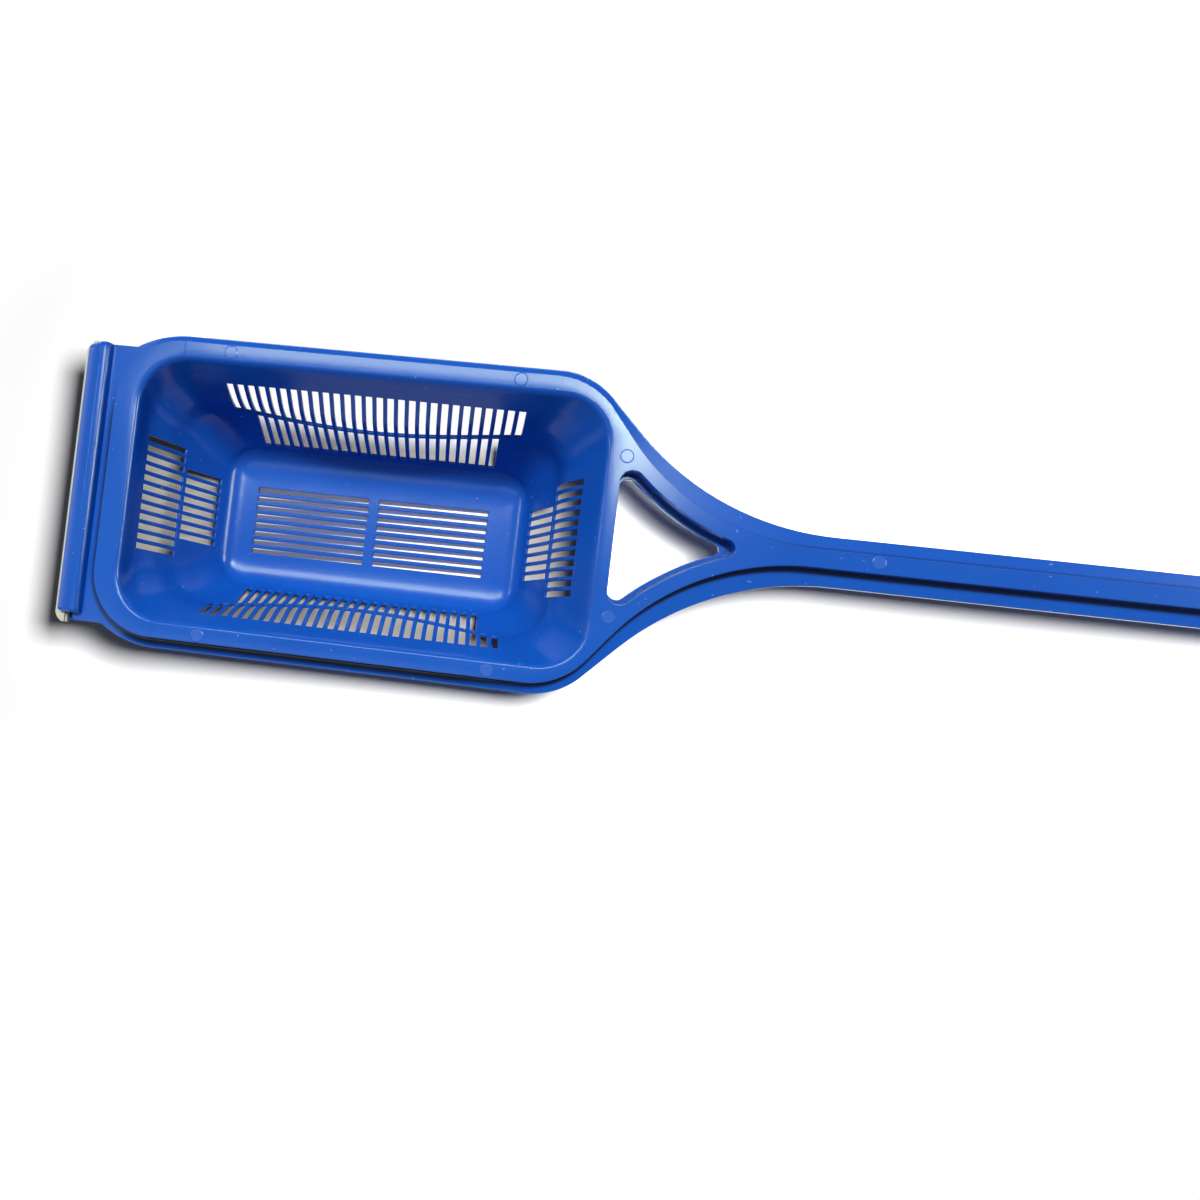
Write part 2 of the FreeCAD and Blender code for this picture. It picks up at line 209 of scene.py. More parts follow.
# The sheet is eight pieces round an opening under the basket's floor. In the opening a
# ninth slopes down to the front, as the table seems to under a scoop that stands tilted.
lines_x = np.array([-sheet_reach, dip_front, dip_rear, sheet_reach])
lines_y = np.array([-sheet_reach, -dip_side, dip_side, sheet_reach])
sheet_x, sheet_y = np.meshgrid(lines_x, lines_y, indexing="ij")
sheet_z = np.full(sheet_x.size, -sheet_drop)
sheet_points = np.stack([sheet_x.ravel(), sheet_y.ravel(), sheet_z], axis=-1)
sheet_quads = [(4 * i + j, 4 * i + j + 4, 4 * i + j + 5, 4 * i + j + 1)
               for i in range(3) for j in range(3) if (i, j) != (1, 1)]
sheet_mesh = bpy.data.meshes.new("table_sheet")
sheet_mesh.from_pydata(sheet_points.tolist(), [], sheet_quads)
sheet = added("table_sheet", sheet_mesh)
dip_corners = [(dip_front, -dip_side, -dip_drop), (dip_rear, -dip_side, -sheet_drop),
               (dip_rear, dip_side, -sheet_drop), (dip_front, dip_side, -dip_drop)]
dip_mesh = bpy.data.meshes.new("table_under_floor")
dip_mesh.from_pydata(dip_corners, [], [(0, 1, 2, 3)])
dip = added("table_under_floor", dip_mesh)
# Painted light: to the camera and gloss, the dip glows faintly white, which lifts its shade to
# grey.
under_paper = Finish("paper_under_floor")
seen = under_paper.node("LightPath", out=camera_ray) + under_paper.node("LightPath", out=gloss_ray)
under_diffuse = under_paper.node("BsdfDiffuse", sockets={"Color": sheet_seen})
under_glow = under_paper.node("Emission", sockets={"Color": glow_white, "Strength": 1.0})
under_surface = under_paper.node("MixShader", sockets={
    0: seen * painted_glow_under, 1: under_diffuse, 2: under_glow})
under_paper.node("OutputMaterial", sockets={"Surface": under_surface})
dip_mesh.materials.append(under_paper.material)

# To the camera, gloss and clear pieces, the rest of the sheet is painted grey as shade where the
# basket shades it, pale round the skimmer, and a white glow further out and in a strip just past
# the basket's far side, which is painted light where the basket's shadow would fall.
paper = Finish("paper")
seen = (paper.node("LightPath", out=camera_ray) + paper.node("LightPath", out=gloss_ray)
        + paper.node("LightPath", out=clear_ray))
paper_place = paper.node("TexCoord", out=object_place)
paper_x = paper.node("SeparateXYZ", sockets={0: paper_place}, out=0)
paper_y = paper.node("SeparateXYZ", sockets={0: paper_place}, out=1)
under_basket_painted_shade = paper.rising(paper_y, shade_far_y[1], shade_far_y[0], soft=True)
under_basket_painted_shade = under_basket_painted_shade * paper.rising(paper_x, shade_ends_x[0], shade_ends_x[0] + shade_soft)
under_basket_painted_shade = under_basket_painted_shade * paper.rising(paper_x, shade_ends_x[1], shade_ends_x[1] - shade_soft)
under_basket_painted_shade = under_basket_painted_shade * paper.rising(paper_y, shade_near_y, shade_near_y + shade_soft)
paper_colour = paper.mixed(seen, sheet_white, paper.mixed(under_basket_painted_shade, sheet_seen, sheet_painted_shade))
paper_diffuse = paper.node("BsdfDiffuse", sockets={"Color": paper_colour})
past_end = (abs(paper_x) - basket_reach[0]).at_least(0.0)
past_side = (abs(paper_y) - basket_reach[1]).at_least(0.0)
past_handle = (abs(paper_x - handle_middle) - handle_reach).at_least(0.0)
to_basket = (past_end ** 2 + past_side ** 2) ** 0.5
to_handle = (past_handle ** 2 + paper_y ** 2) ** 0.5
nearest = to_basket.at_most(to_handle)
fade = paper.rising(nearest, glow_near, glow_far, soft=True)
far_painted_glow = paper.rising(paper_y, *far_glow_y, soft=True) * (abs(paper_x) < far_glow_x)
glow = fade.at_least(far_painted_glow) * seen.at_most(1.0)
paper_glow = paper.node("Emission", sockets={"Color": glow_white, "Strength": 1.0})
paper_surface = paper.node("MixShader", sockets={0: glow, 1: paper_diffuse, 2: paper_glow})
paper.node("OutputMaterial", sockets={"Surface": paper_surface})
sheet_mesh.materials.append(paper.material)

# Studio light: small lamps low over the table light the sheet alone and lay a close soft
# shadow. A weak sun and fills round the sides light the skimmer alone, and long softboxes
# show in its gloss only.
room_light = 0.045
room_gloss = 0.1
key_strength = 3.0
key_angle = 14.0
key_from = (0.0, 0.42, 1.0)
down = (0.0, 0.0, -1.0)
along_x = (1.0, 0.0, 0.0)
along_y = (0.0, 1.0, 0.0)
white = (1.0, 1.0, 1.0)
tube_white = (0.86, 1.0, 0.68)
wide = 180.0
narrow = 90.0
lamps = (
    # name, place, direction,
    # long side along, length, width, power, spread, lit things, only in gloss
    ("table_lamp_basket", (0.106, -0.004, 0.403), down,
     along_x, 0.09, 0.09, 4.2, wide, "table", False),
    ("table_lamp_handle", (0.62, 0.01, 0.403), down,
     along_x, 0.10, 0.10, 2.0, narrow, "table", False),
    ("table_lamp_grip", (0.98, 0.01, 0.403), down,
     along_x, 0.10, 0.10, 2.0, narrow, "table", False),
    ("under_lamp", (0.08, 0.115, 0.45), down,
     along_x, 0.20, 0.03, 3.6, wide, "under", False),
    ("front_fill", (-0.45, 0.20, 0.75), (0.7, -0.2, -1.0),
     along_y, 0.50, 0.40, 0.7, wide, "skimmer", False),
    ("rear_fill", (0.60, 0.20, 0.75), (-0.7, -0.2, -1.0),
     along_y, 0.50, 0.40, 0.4, wide, "skimmer", False),
    ("near_side_fill", (0.45, -1.10, 0.25), (0.0, 1.0, -0.15),
     along_x, 1.40, 0.30, 1.2, wide, "skimmer", False),
    ("far_side_fill", (0.45, 1.10, 0.25), (0.0, -1.0, -0.15),
     along_x, 1.40, 0.30, 2.0, wide, "skimmer", False),
    ("lip_end_fill", (-1.00, 0.0, 0.25), (1.0, 0.0, -0.15),
     along_y, 0.60, 0.30, 1.4, wide, "skimmer", False),
    ("hook_end_fill", (2.00, 0.0, 0.25), (-1.0, 0.0, -0.15),
     along_y, 0.60, 0.30, 1.4, wide, "skimmer", False),
    ("far_tube", (-0.02, 0.28, 0.70), (-0.1, -0.38, -1.0),
     along_x, 0.62, 0.14, 3.0, wide, "skimmer", True),
    ("far_tube_end", (0.24, 0.24, 0.70), (-0.2, -0.38, -1.0),
     along_x, 0.12, 0.12, 0.9, wide, "skimmer", True),
    ("near_tube", (-0.20, -0.12, 0.70), (0.1, 0.0, -1.0),
     along_x, 0.60, 0.14, 0.3, wide, "skimmer", True),
    ("lip_tube", (-0.60, 0.17, 0.47), (0.9, -0.2, -0.8),
     along_y, 0.18, 0.05, 0.4, wide, "skimmer", True),
    ("end_tube_low", (1.45, 0.30, 0.45), (-1.0, -0.1, -0.35),
     along_y, 0.36, 0.03, 3.6, wide, "skimmer", True),
    ("end_tube_high", (1.25, 0.30, 0.65), (-1.0, -0.1, -0.50),
     along_y, 0.36, 0.03, 3.6, wide, "skimmer", True),
)

world = bpy.data.worlds.new("studio")
bpy.context.scene.world = world
world.use_nodes = True
sky = world.node_tree.nodes["Background"]
sky.inputs["Color"].default_value = glow_white
sky_path = world.node_tree.nodes.new("ShaderNodeLightPath")
sky_camera, sky_gloss, sky_clear = (
    Flow(world.node_tree, sky_path.outputs[ray]) for ray in (camera_ray, gloss_ray, clear_ray))
sky_strength = room_light + sky_camera + (sky_gloss + sky_clear) * room_gloss
world.node_tree.links.new(sky_strength.socket, sky.inputs["Strength"])
lit = {}
for name, table_parts, state in (("table", (sheet,), "INCLUDE"), ("under", (dip,), "INCLUDE"),
                                 ("skimmer", (sheet, dip), "EXCLUDE")):
    lit[name] = bpy.data.collections.new("lit_" + name)
    for table_part in table_parts:
        lit[name].objects.link(table_part)
    for link in lit[name].collection_objects:
        link.light_linking.link_state = state
for (name, lamp_place, direction,
     long_side, length, width, power, spread, lit_name, only_gloss) in lamps:
    lamp = bpy.data.lights.new(name, "AREA")
    lamp.energy = power
    lamp.color = tube_white if only_gloss else white
    lamp.spread = math.radians(spread)
    lamp.shape = "RECTANGLE"
    lamp.size = length
    lamp.size_y = width
    lamp_object = bpy.data.objects.new(name, lamp)
    bpy.context.collection.objects.link(lamp_object)
    away = -np.array(direction) / np.linalg.norm(direction)
    along = np.array(long_side) - away * np.dot(long_side, away)
    along = along / np.linalg.norm(along)
    across = np.cross(away, along)
    turned(lamp_object, along, across, away, lamp_place)
    lamp_object.light_linking.receiver_collection = lit[lit_name]
    lamp_object.visible_glossy = only_gloss
    lamp_object.visible_diffuse = not only_gloss
key = bpy.data.lights.new("key", "SUN")
key.energy = key_strength
key.angle = math.radians(key_angle)
key_object = bpy.data.objects.new("key", key)
bpy.context.collection.objects.link(key_object)
key_object.matrix_world = Vector(key_from).to_track_quat("Z", "Y").to_matrix().to_4x4()
key_object.light_linking.receiver_collection = lit["skimmer"]
key_object.visible_glossy = False

# Blue moulding: basket, rim, yoke, handle and front plate are one injection moulding in
# glossy coloured plastic. It is made as one sheet, the skin seen from above and inside,
# in millimetres, and the sheet then gets its thickness outward and its rounded edges.
mm = 0.001
rim_z = 67.0
roll_z = 64.5
foot_z = 10.0
floor_z = 3.0
flange_z = 61.2

# The inside at six heights: reach of the front wall, the rear wall and the middles of the
# far and near walls, how far these walls' ends stand further out, and the corner radius.
key_z = np.array([10.0, 21.0, 32.0, 43.0, 54.0, 64.5])
key_front = np.array([78.0, 84.8, 91.3, 97.0, 102.6, 103.8])
key_rear = np.array([78.8, 83.4, 87.8, 91.1, 97.4, 103.8])
key_far = np.array([37.6, 39.5, 41.8, 45.2, 52.7, 57.9])
key_near = np.array([35.9, 38.4, 41.3, 45.2, 52.7, 57.9])
key_bow = np.array([0.0, 2.6, 4.9, 3.4, 0.0, 0.0])
key_round = np.array([16.5, 17.0, 17.5, 18.3, 19.0, 20.5])
mouth_end = 107.4
mouth_side = 60.4
mouth_round = 23.0
floor_end = 62.8
floor_side = 20.0
floor_round = 3.0
bow_reach = 72.0
bow_end = 67.5
bow_power = 1.5
bow_share = 1.0 - (1.0 - (bow_end / bow_reach) ** 2) ** bow_power

# Slots: pitch, width and count in each wall's upper and lower row, and the heights of
# each wall's slot tops, land top, land foot and slot feet.
side_pitch = 5.0
side_slot = 3.0
side_upper_slots = 28
side_lower_slots = 24
end_pitch = 4.57
end_slot = 2.7
end_upper_slots = 12
end_lower_slots = 8
far_heights = (55.0, 35.0, 33.2, 10.6)
rear_heights = (54.5, 35.2, 32.8, 11.9)
near_heights = (55.0, 35.0, 33.2, 11.0)
front_heights = (53.6, 33.2, 31.2, 12.2)
row_counts = (4, 7, 1, 7, 1)
roll_rows = 5
hollow_rows = 7
corner_columns = 13


def curve_through(height, values):
    """Smooth curve of a reach over height: between two key heights a cubic, whose end
    slopes are those of the keys' neighbours."""
    slopes = np.gradient(values, key_z)
    k = np.clip(np.searchsorted(key_z, height) - 1, 0, len(key_z) - 2)
    span = key_z[k + 1] - key_z[k]
    t = (height - key_z[k]) / span
    from_first = ((2 * t ** 3 - 3 * t ** 2 + 1) * values[k]
                  + (t ** 3 - 2 * t ** 2 + t) * slopes[k] * span)
    from_next = ((3 * t ** 2 - 2 * t ** 3) * values[k + 1]
                 + (t ** 3 - t ** 2) * slopes[k + 1] * span)
    return from_first + from_next


def hooked(first, middle, last, t):
    """Curve from first to last that sets out toward middle and comes in from it: the three
    weighed by (1 - t) squared, twice t times (1 - t), and t squared."""
    return (1 - t) ** 2 * first + 2 * t * (1 - t) * middle + t ** 2 * last


def slot_edges(pitch, width, count):
    """Both edges of each slot of an evenly spaced row, in order."""
    middles = (np.arange(count) - (count - 1) / 2.0) * pitch
    return (middles[:, None] + np.array([-width / 2, width / 2])).ravel()


def grid_faces(rows, columns, closed):
    """Quads between neighbouring rows and columns of a grid of points."""
    last = columns if closed else columns - 1
    a = np.arange(rows - 1)[:, None] * columns
    b = np.arange(last)[None, :]
    c = (b + 1) % columns
    return np.stack([a + b, a + columns + b, a + columns + c, a + c], axis=-1)


side_edges = slot_edges(side_pitch, side_slot, side_upper_slots)
end_edges = slot_edges(end_pitch, end_slot, end_upper_slots)
between = np.arange(1, corner_columns) / corner_columns

# Columns run clockwise seen from above: far wall, rear wall, near wall and front wall,
# with a corner after each. Every column has a share of each wall's heights.
n_side = len(side_edges)
n_end = len(end_edges)
n_corner = len(between)
walls = []
for k, n_wall in enumerate((n_side, n_end, n_side, n_end)):
    flat = np.zeros((n_wall, 4))
    flat[:, k] = 1.0
    turn = np.zeros((n_corner, 4))
    turn[:, k] = 1.0 - between
    turn[:, (k + 1) % 4] = between
    walls += [flat, turn]
shares = np.concatenate(walls)
wall_heights = []
for top, land_top, land_foot, foot in (far_heights, rear_heights, near_heights, front_heights):
    stops = (roll_z, top, land_top, land_foot, foot, foot_z)
    parts = [np.linspace(a, b, n, endpoint=False) for a, b, n in zip(stops, stops[1:], row_counts)]
    wall_heights.append(np.concatenate(parts + [[foot_z]]))
wall_z = np.array(wall_heights).T @ shares.T

# Every grid point's height and the shape of the inside there: the roll of the rim, the
# walls, and the hollow curve that carries them on into the floor.
roll_t = np.linspace(1.0, 0.0, roll_rows, endpoint=False)[:, None] * np.ones(len(shares))
hollow_t = (np.arange(1, hollow_rows + 1) / hollow_rows)[:, None] * np.ones(len(shares))


def inside_reach(values, at_mouth, at_floor):
    """One reach of the inside at every grid point, carried on in line with the wall into
    the rim's roll above it and into the hollow below it."""
    slopes = np.gradient(values, key_z)
    rise = rim_z - roll_z
    drop = foot_z - floor_z
    roll = hooked(values[-1], values[-1] + slopes[-1] * rise, at_mouth, roll_t)
    hollow = hooked(values[0], values[0] - slopes[0] * drop, at_floor, hollow_t)
    return np.concatenate([roll, curve_through(wall_z, values), hollow])


roll_heights = hooked(roll_z, rim_z, rim_z, roll_t)
hollow_heights = hooked(foot_z, floor_z, floor_z, hollow_t)
inside_z = np.concatenate([roll_heights, wall_z, hollow_heights])
front_reach = inside_reach(key_front, mouth_end, floor_end)
rear_reach = inside_reach(key_rear, mouth_end, floor_end)
far_reach = inside_reach(key_far, mouth_side, floor_side)
near_reach = inside_reach(key_near, mouth_side, floor_side)
bow = inside_reach(key_bow, 0.0, 0.0)
round_roll = key_round[-1] + (mouth_round - key_round[-1]) * roll_t
round_hollow = key_round[0] + (floor_round - key_round[0]) * hollow_t
corner_round = np.concatenate([round_roll, curve_through(wall_z, key_round), round_hollow])
bow[:roll_rows] = 0.0
bow[-hollow_rows:] = 0.0

# In the hollow, the columns draw together until they fit between the floor's corners.
drawn = np.concatenate([np.zeros_like(roll_t), np.zeros_like(wall_z), hollow_t])
draw_side = 1.0 - drawn * (1.0 - (floor_end - floor_round) / side_edges[-1])
draw_end = 1.0 - drawn * (1.0 - (floor_side - floor_round) / end_edges[-1])


def side_columns(sign, reach, part):
    """Long wall: x is the slot's own. y is the wall's reach in the middle, and toward the
    ends further out by the bow, as 1 minus (1 - (x / bow_reach) squared) to the bow's
    power, which is the whole bow at bow_end. Past the corner's start it is its circle."""
    x = np.where(sign > 0, side_edges, side_edges[::-1]) * draw_side[:, part]
    end = np.where(x < 0, front_reach[:, part], rear_reach[:, part])
    r = corner_round[:, part]
    stands_in = np.clip(1.0 - (x / bow_reach) ** 2, 0.0, 1.0) ** bow_power
    straight = reach[:, part] + bow[:, part] * (1.0 - stands_in) / bow_share
    over = np.clip(np.abs(x) - (end - r), 0.0, r)
    return x, sign * (straight - r + np.sqrt(r ** 2 - over ** 2))


def end_columns(sign, reach, part):
    """End wall: y is the slot's own, and x follows the corner where one has begun."""
    y = np.where(sign > 0, end_edges[::-1], end_edges) * draw_end[:, part]
    side = np.where(y > 0, far_reach[:, part], near_reach[:, part]) + bow[:, part] / bow_share
    r = corner_round[:, part]
    over = np.clip(np.abs(y) - (side - r), 0.0, r)
    return sign * (reach[:, part] - r + np.sqrt(r ** 2 - over ** 2)), y


def corner_between(sx, sy, reach, side_reach, part, t):
    """Corner: points evenly along the outline between the last slots of two walls, by
    their distance along it, which is straight, then round, then straight again."""
    r = corner_round[:, part]
    middle_x = reach[:, part] - r
    middle_y = side_reach[:, part] + bow[:, part] / bow_share - r
    spare_x = middle_x - side_edges[-1] * draw_side[:, part]
    spare_y = middle_y - end_edges[-1] * draw_end[:, part]
    quarter = r * math.pi / 2
    first = np.where(spare_x >= 0, -spare_x, r * np.arcsin(np.clip(-spare_x / r, 0, 1)))
    last = np.where(spare_y >= 0, quarter + spare_y,
                    quarter - r * np.arcsin(np.clip(-spare_y / r, 0, 1)))
    s = first + (last - first) * t
    turn = np.clip(s / r, 0.0, math.pi / 2)
    x = middle_x + r * np.sin(turn) + np.minimum(s, 0.0)
    y = middle_y + r * np.cos(turn) - np.maximum(s - quarter, 0.0)
    return sx * x, sy * y


starts = np.cumsum([0] + [len(wall) for wall in walls])
part = [slice(a, b) for a, b in zip(starts, starts[1:])]
outline_parts = [
    side_columns(1, far_reach, part[0]),
    corner_between(1, 1, rear_reach, far_reach, part[1], between),
    end_columns(1, rear_reach, part[2]),
    corner_between(1, -1, rear_reach, near_reach, part[3], 1.0 - between),
    side_columns(-1, near_reach, part[4]),
    corner_between(-1, -1, front_reach, near_reach, part[5], between),
    end_columns(-1, front_reach, part[6]),
    corner_between(-1, 1, front_reach, far_reach, part[7], 1.0 - between),
]
inside_x = np.concatenate([x for x, y in outline_parts], axis=1)
inside_y = np.concatenate([y for x, y in outline_parts], axis=1)
basket_points = np.stack([inside_x, inside_y, inside_z], axis=-1)
basket_rows, basket_columns = inside_x.shape

# The slots are the quads that are left out between two edges of a slot.
row_stops = np.cumsum((roll_rows,) + row_counts)
top_row, land_row, lower_row, foot_row = row_stops[1:5]
solid = np.ones((basket_rows - 1, basket_columns), dtype=bool)
for wall, lower_slots, upper_slots in ((0, side_lower_slots, side_upper_slots),
                                       (2, end_lower_slots, end_upper_slots),
                                       (4, side_lower_slots, side_upper_slots),
                                       (6, end_lower_slots, end_upper_slots)):
    slots = starts[wall] + 2 * np.arange(upper_slots)
    skipped = (upper_slots - lower_slots) // 2
    solid[top_row:land_row, slots] = False
    solid[lower_row:foot_row, slots[skipped:upper_slots - skipped]] = False
basket_faces = grid_faces(basket_rows, basket_columns, True)[solid]


# Rim, yoke and handle from above: outlines with rounded corners, and strips that follow
# them at a distance.
shortest_step = 0.45
same_place = 0.02


def rounded(points, bend_step=2.5):
    """Open outline through points with a radius each: at each corner an arc that touches
    both sides, in steps of about bend_step degrees."""
    points = np.array(points, dtype=float)
    path = [points[0, :2]]
    for before, here, after in zip(points, points[1:], points[2:]):
        back = (before - here)[:2]
        ahead = (after - here)[:2]
        back = back / np.hypot(*back)
        ahead = ahead / np.hypot(*ahead)
        half = math.acos(np.clip(back @ ahead, -1, 1)) / 2
        if here[2] <= 0:
            path.append(here[:2])
            continue
        inward = (back + ahead) / np.hypot(*(back + ahead))
        centre = here[:2] + inward * here[2] / math.sin(half)
        start = here[:2] + back * here[2] / math.tan(half) - centre
        side = 1 if back[0] * ahead[1] - back[1] * ahead[0] < 0 else -1
        turn = side * (math.pi - 2 * half)
        steps = int(min(math.degrees(abs(turn)) / bend_step, abs(turn) * here[2] / shortest_step))
        steps = max(2, steps)
        angles = np.linspace(0, turn, steps + 1)
        cosines = np.cos(angles)
        sines = np.sin(angles)
        arc = np.stack([start[0] * cosines - start[1] * sines,
                        start[0] * sines + start[1] * cosines], axis=-1)
        path.extend(centre + arc)
    path.append(points[-1, :2])
    path = np.array(path)
    steps = np.hypot(*np.diff(path, axis=0).T)
    return path[np.concatenate([[True], steps > same_place])]


def beside(path, distance):
    """The open path moved to its right by a distance, with mitred corners: each point goes
    along the sum of its two sides' right-hand normals over one plus their product."""
    steps = np.diff(path, axis=0)
    right = np.stack([steps[:, 1], -steps[:, 0]], axis=-1)
    right = right / np.hypot(right[:, 0], right[:, 1])[:, None]
    before = np.concatenate([right[:1], right])
    after = np.concatenate([right, right[-1:]])
    mitre = (before + after) / (1.0 + np.sum(before * after, axis=1))[:, None]
    return path + mitre * distance


def level(path, z):
    """A flat path set at a height."""
    return np.column_stack([path, np.full(len(path), z)])


def strip(loops, closed):
    """Quads between paths with as many points each, from the first path outward."""
    points = np.concatenate(loops)
    return points, grid_faces(len(loops), len(loops[0]), closed).reshape(-1, 4)


inside_loops = 1
merged_within = 1e-7


def filled(outline, holes=()):
    """Triangles that fill an outline around its holes, facing up: a Delaunay triangulation
    of the loops seen from above, which keeps their sides and each point's own height."""
    points = np.concatenate([outline, *holes])
    starts = np.cumsum([0] + [len(loop) for loop in (outline, *holes)])
    loops = []
    for loop, a, b in zip((outline, *holes), starts.tolist(), starts[1:].tolist()):
        ahead = np.roll(loop, -1, axis=0)
        turn = np.sum(loop[:, 0] * ahead[:, 1] - loop[:, 1] * ahead[:, 0])
        loops.append(list(range(a, b)) if turn > 0 else list(range(b - 1, a - 1, -1)))
    found, _, faces, origins, _, within = delaunay_2d_cdt(
        points[:, :2].tolist(), [], loops, inside_loops, merged_within)
    found = np.column_stack([np.array(found), points[list(map(min, origins)), 2]])
    faces = np.array(faces)[np.array(list(map(len, within))) == 1]
    a, b, c = (found[faces[:, k]] for k in range(3))
    turns = (b[:, 0] - a[:, 0]) * (c[:, 1] - a[:, 1]) - (b[:, 1] - a[:, 1]) * (c[:, 0] - a[:, 0])
    faces[turns < 0] = faces[turns < 0][:, ::-1]
    return found, faces


# The top of the rim, yoke and handle: x, y and radius of its corners on the far side.
handle_end_x = 811.0
bar_half = 3.9
flank_bend_x = 145.7
flank_round = 102.0
rim_rear_x = 95.7
rim_rear_round = 32.5
rim_front_x = -115.0
rim_front_round = 28.5
rim_side = 66.8
top_side = [
    (handle_end_x, bar_half, 0),
    (flank_bend_x, bar_half, flank_round),
    (rim_rear_x, rim_side, rim_rear_round),
    (rim_front_x, rim_side, rim_front_round),
]
top_path = rounded(top_side + [(x, -y, r) for x, y, r in reversed(top_side)])

# The lower flange: along the sides, round the front corners, and out to the front plate.
flange_side = 71.5
flange_half = 10.8
flange_flank_x = 155.4
flange_flank_round = 120.0
flange_rear_x = 95.9
flange_rear_round = 33.0
flange_front_x = -86.0
flange_front_round = 43.0
plate_x = -125.2
plate_far = 64.3
plate_near = 63.2
plate_round = 1.8
flange_round = 0.9
flange_fall = 0.8
flange_fall_x = (-112.0, -90.0)


def flange_half_path(plate_y):
    """One side of the flange, from the handle to the front plate's corner. Its front arc
    ends where it meets the plate's edge, so its corner point lies on both tangents."""
    centre_y = flange_side - flange_front_round
    angle = math.asin((plate_y - centre_y) / flange_front_round)
    turn = math.pi / 2 - angle
    corner_x = flange_front_x - flange_front_round * math.tan(turn / 2)
    meet_x = flange_front_x - flange_front_round * math.cos(angle)
    return [
        (handle_end_x, flange_half, 0),
        (flange_flank_x, flange_half, flange_flank_round),
        (flange_rear_x, flange_side, flange_rear_round),
        (corner_x, flange_side, flange_front_round),
        (meet_x, plate_y, 0),
        (plate_x, plate_y, plate_round),
    ]


def sloped(path):
    """The flange's edge at its height: level along the front plate, then down an S by the
    flange's fall, and level again along the sides, the yoke and the handle."""
    start, end = flange_fall_x
    share = np.clip((path[:, 0] - start) / (end - start), 0.0, 1.0)
    return np.column_stack([path, flange_z - flange_fall * share ** 2 * (3 - 2 * share)])


near_half = [(x, -y, r) for x, y, r in reversed(flange_half_path(plate_near))]
flange_path = rounded(flange_half_path(plate_far) + near_half)

# The yoke's window: its two long sides run round the same centres as the yoke's flanks.
flank_turn = math.atan2(rim_side - bar_half, flank_bend_x - rim_rear_x)
flank_x = flank_bend_x + flank_round * math.tan(flank_turn / 2)
flank_y = bar_half + flank_round
arm_width = 6.3
window_x = 111.3
window_corner = 5.3
window_tip = 3.7
window_steps = 14


def window_path(grow, left_in, corner, tip):
    """Three-sided window, clockwise: half the left side, its corner, the long curved
    side and half the tip, each of the rounds touching its neighbours, and the mirror."""
    r = flank_round + arm_width + grow
    left = window_x + left_in
    corner_y = flank_y - math.sqrt((r + corner) ** 2 - (left + corner - flank_x) ** 2)
    tip_x = flank_x - math.sqrt((r + tip) ** 2 - flank_y ** 2)
    corner_turn = math.atan2(flank_y - corner_y, flank_x - left - corner)
    tip_turn = math.atan2(flank_y, flank_x - tip_x)
    a = np.linspace(math.pi, corner_turn, window_steps)
    b = np.linspace(corner_turn, tip_turn, 2 * window_steps)[1:-1] + math.pi
    c = np.linspace(tip_turn, 0.0, window_steps)
    x = np.concatenate([left + corner + corner * np.cos(a), flank_x + r * np.cos(b),
                        tip_x + tip * np.cos(c)])
    y = np.concatenate([corner_y + corner * np.sin(a), flank_y + r * np.sin(b), tip * np.sin(c)])
    half = np.stack([x, y], axis=-1)
    other = half[-2::-1] * np.array([1.0, -1.0])
    return np.concatenate([half, other])


# Down from the edge of the top runs a steep step, and at its foot lies a strip or ledge.
step_slope = 0.35
edge_strip = 1.2
shade_strip_width = 2.0
window_ledge = 2.4
ledge_left = 0.9
patches = [(basket_points.reshape(-1, 3), basket_faces)]
top_inner = level(beside(top_path, -edge_strip), rim_z)
top_edge = level(top_path, rim_z)
step_foot = level(beside(top_path, step_slope), flange_z)
step_clear = level(beside(top_path, step_slope + shade_strip_width), flange_z)
patches.append(strip([top_inner, top_edge, step_foot, step_clear], False))
hole_outer = level(window_path(
    -edge_strip, -edge_strip, window_corner + edge_strip, window_tip + edge_strip), rim_z)
hole_edge = level(window_path(0.0, 0.0, window_corner, window_tip), rim_z)
hole_foot = level(window_path(
    step_slope, step_slope, window_corner - step_slope, window_tip - step_slope), flange_z)
ledge_corner = window_corner - window_ledge / 2
ledge_tip = window_tip - window_ledge / 2
ledge_edge = level(window_path(window_ledge, ledge_left, ledge_corner, ledge_tip), flange_z)
patches.append(strip([hole_outer, hole_edge, hole_foot, ledge_edge], True))
patches.append(filled(top_inner, [basket_points[0], hole_outer]))
flange_inner = sloped(beside(flange_path, -flange_round))
flange_edge = sloped(flange_path)
patches.append(strip([flange_inner, flange_edge], False))
patches.append(filled(np.concatenate([flange_inner, step_clear[::-1]])))

# The floor: a grid of lines along and across, which leaves out its two blocks of long
# slots beside the middle rib, and a border round the grid.
floor_slot = 2.6
floor_slots = 8
floor_pitch = 4.57
floor_lines = np.array([-62.1, -3.0, 2.2, 59.0])
slot_lines = slot_edges(floor_pitch, floor_slot, floor_slots)
grid_x, grid_y = np.meshgrid(floor_lines, slot_lines, indexing="ij")
floor_grid = level(np.stack([grid_x.ravel(), grid_y.ravel()], axis=-1), floor_z)
bars = np.ones((len(floor_lines) - 1, len(slot_lines) - 1), dtype=bool)
bars[0::2, 0::2] = False
patches.append((floor_grid, grid_faces(len(floor_lines), len(slot_lines), False)[bars]))
floor_grid = floor_grid.reshape(len(floor_lines), len(slot_lines), 3)
grid_edge = np.concatenate([floor_grid[0], floor_grid[1:-1, -1],
                            floor_grid[-1, ::-1], floor_grid[-2:0:-1, 0]])
patches.append(filled(basket_points[-1], [grid_edge]))

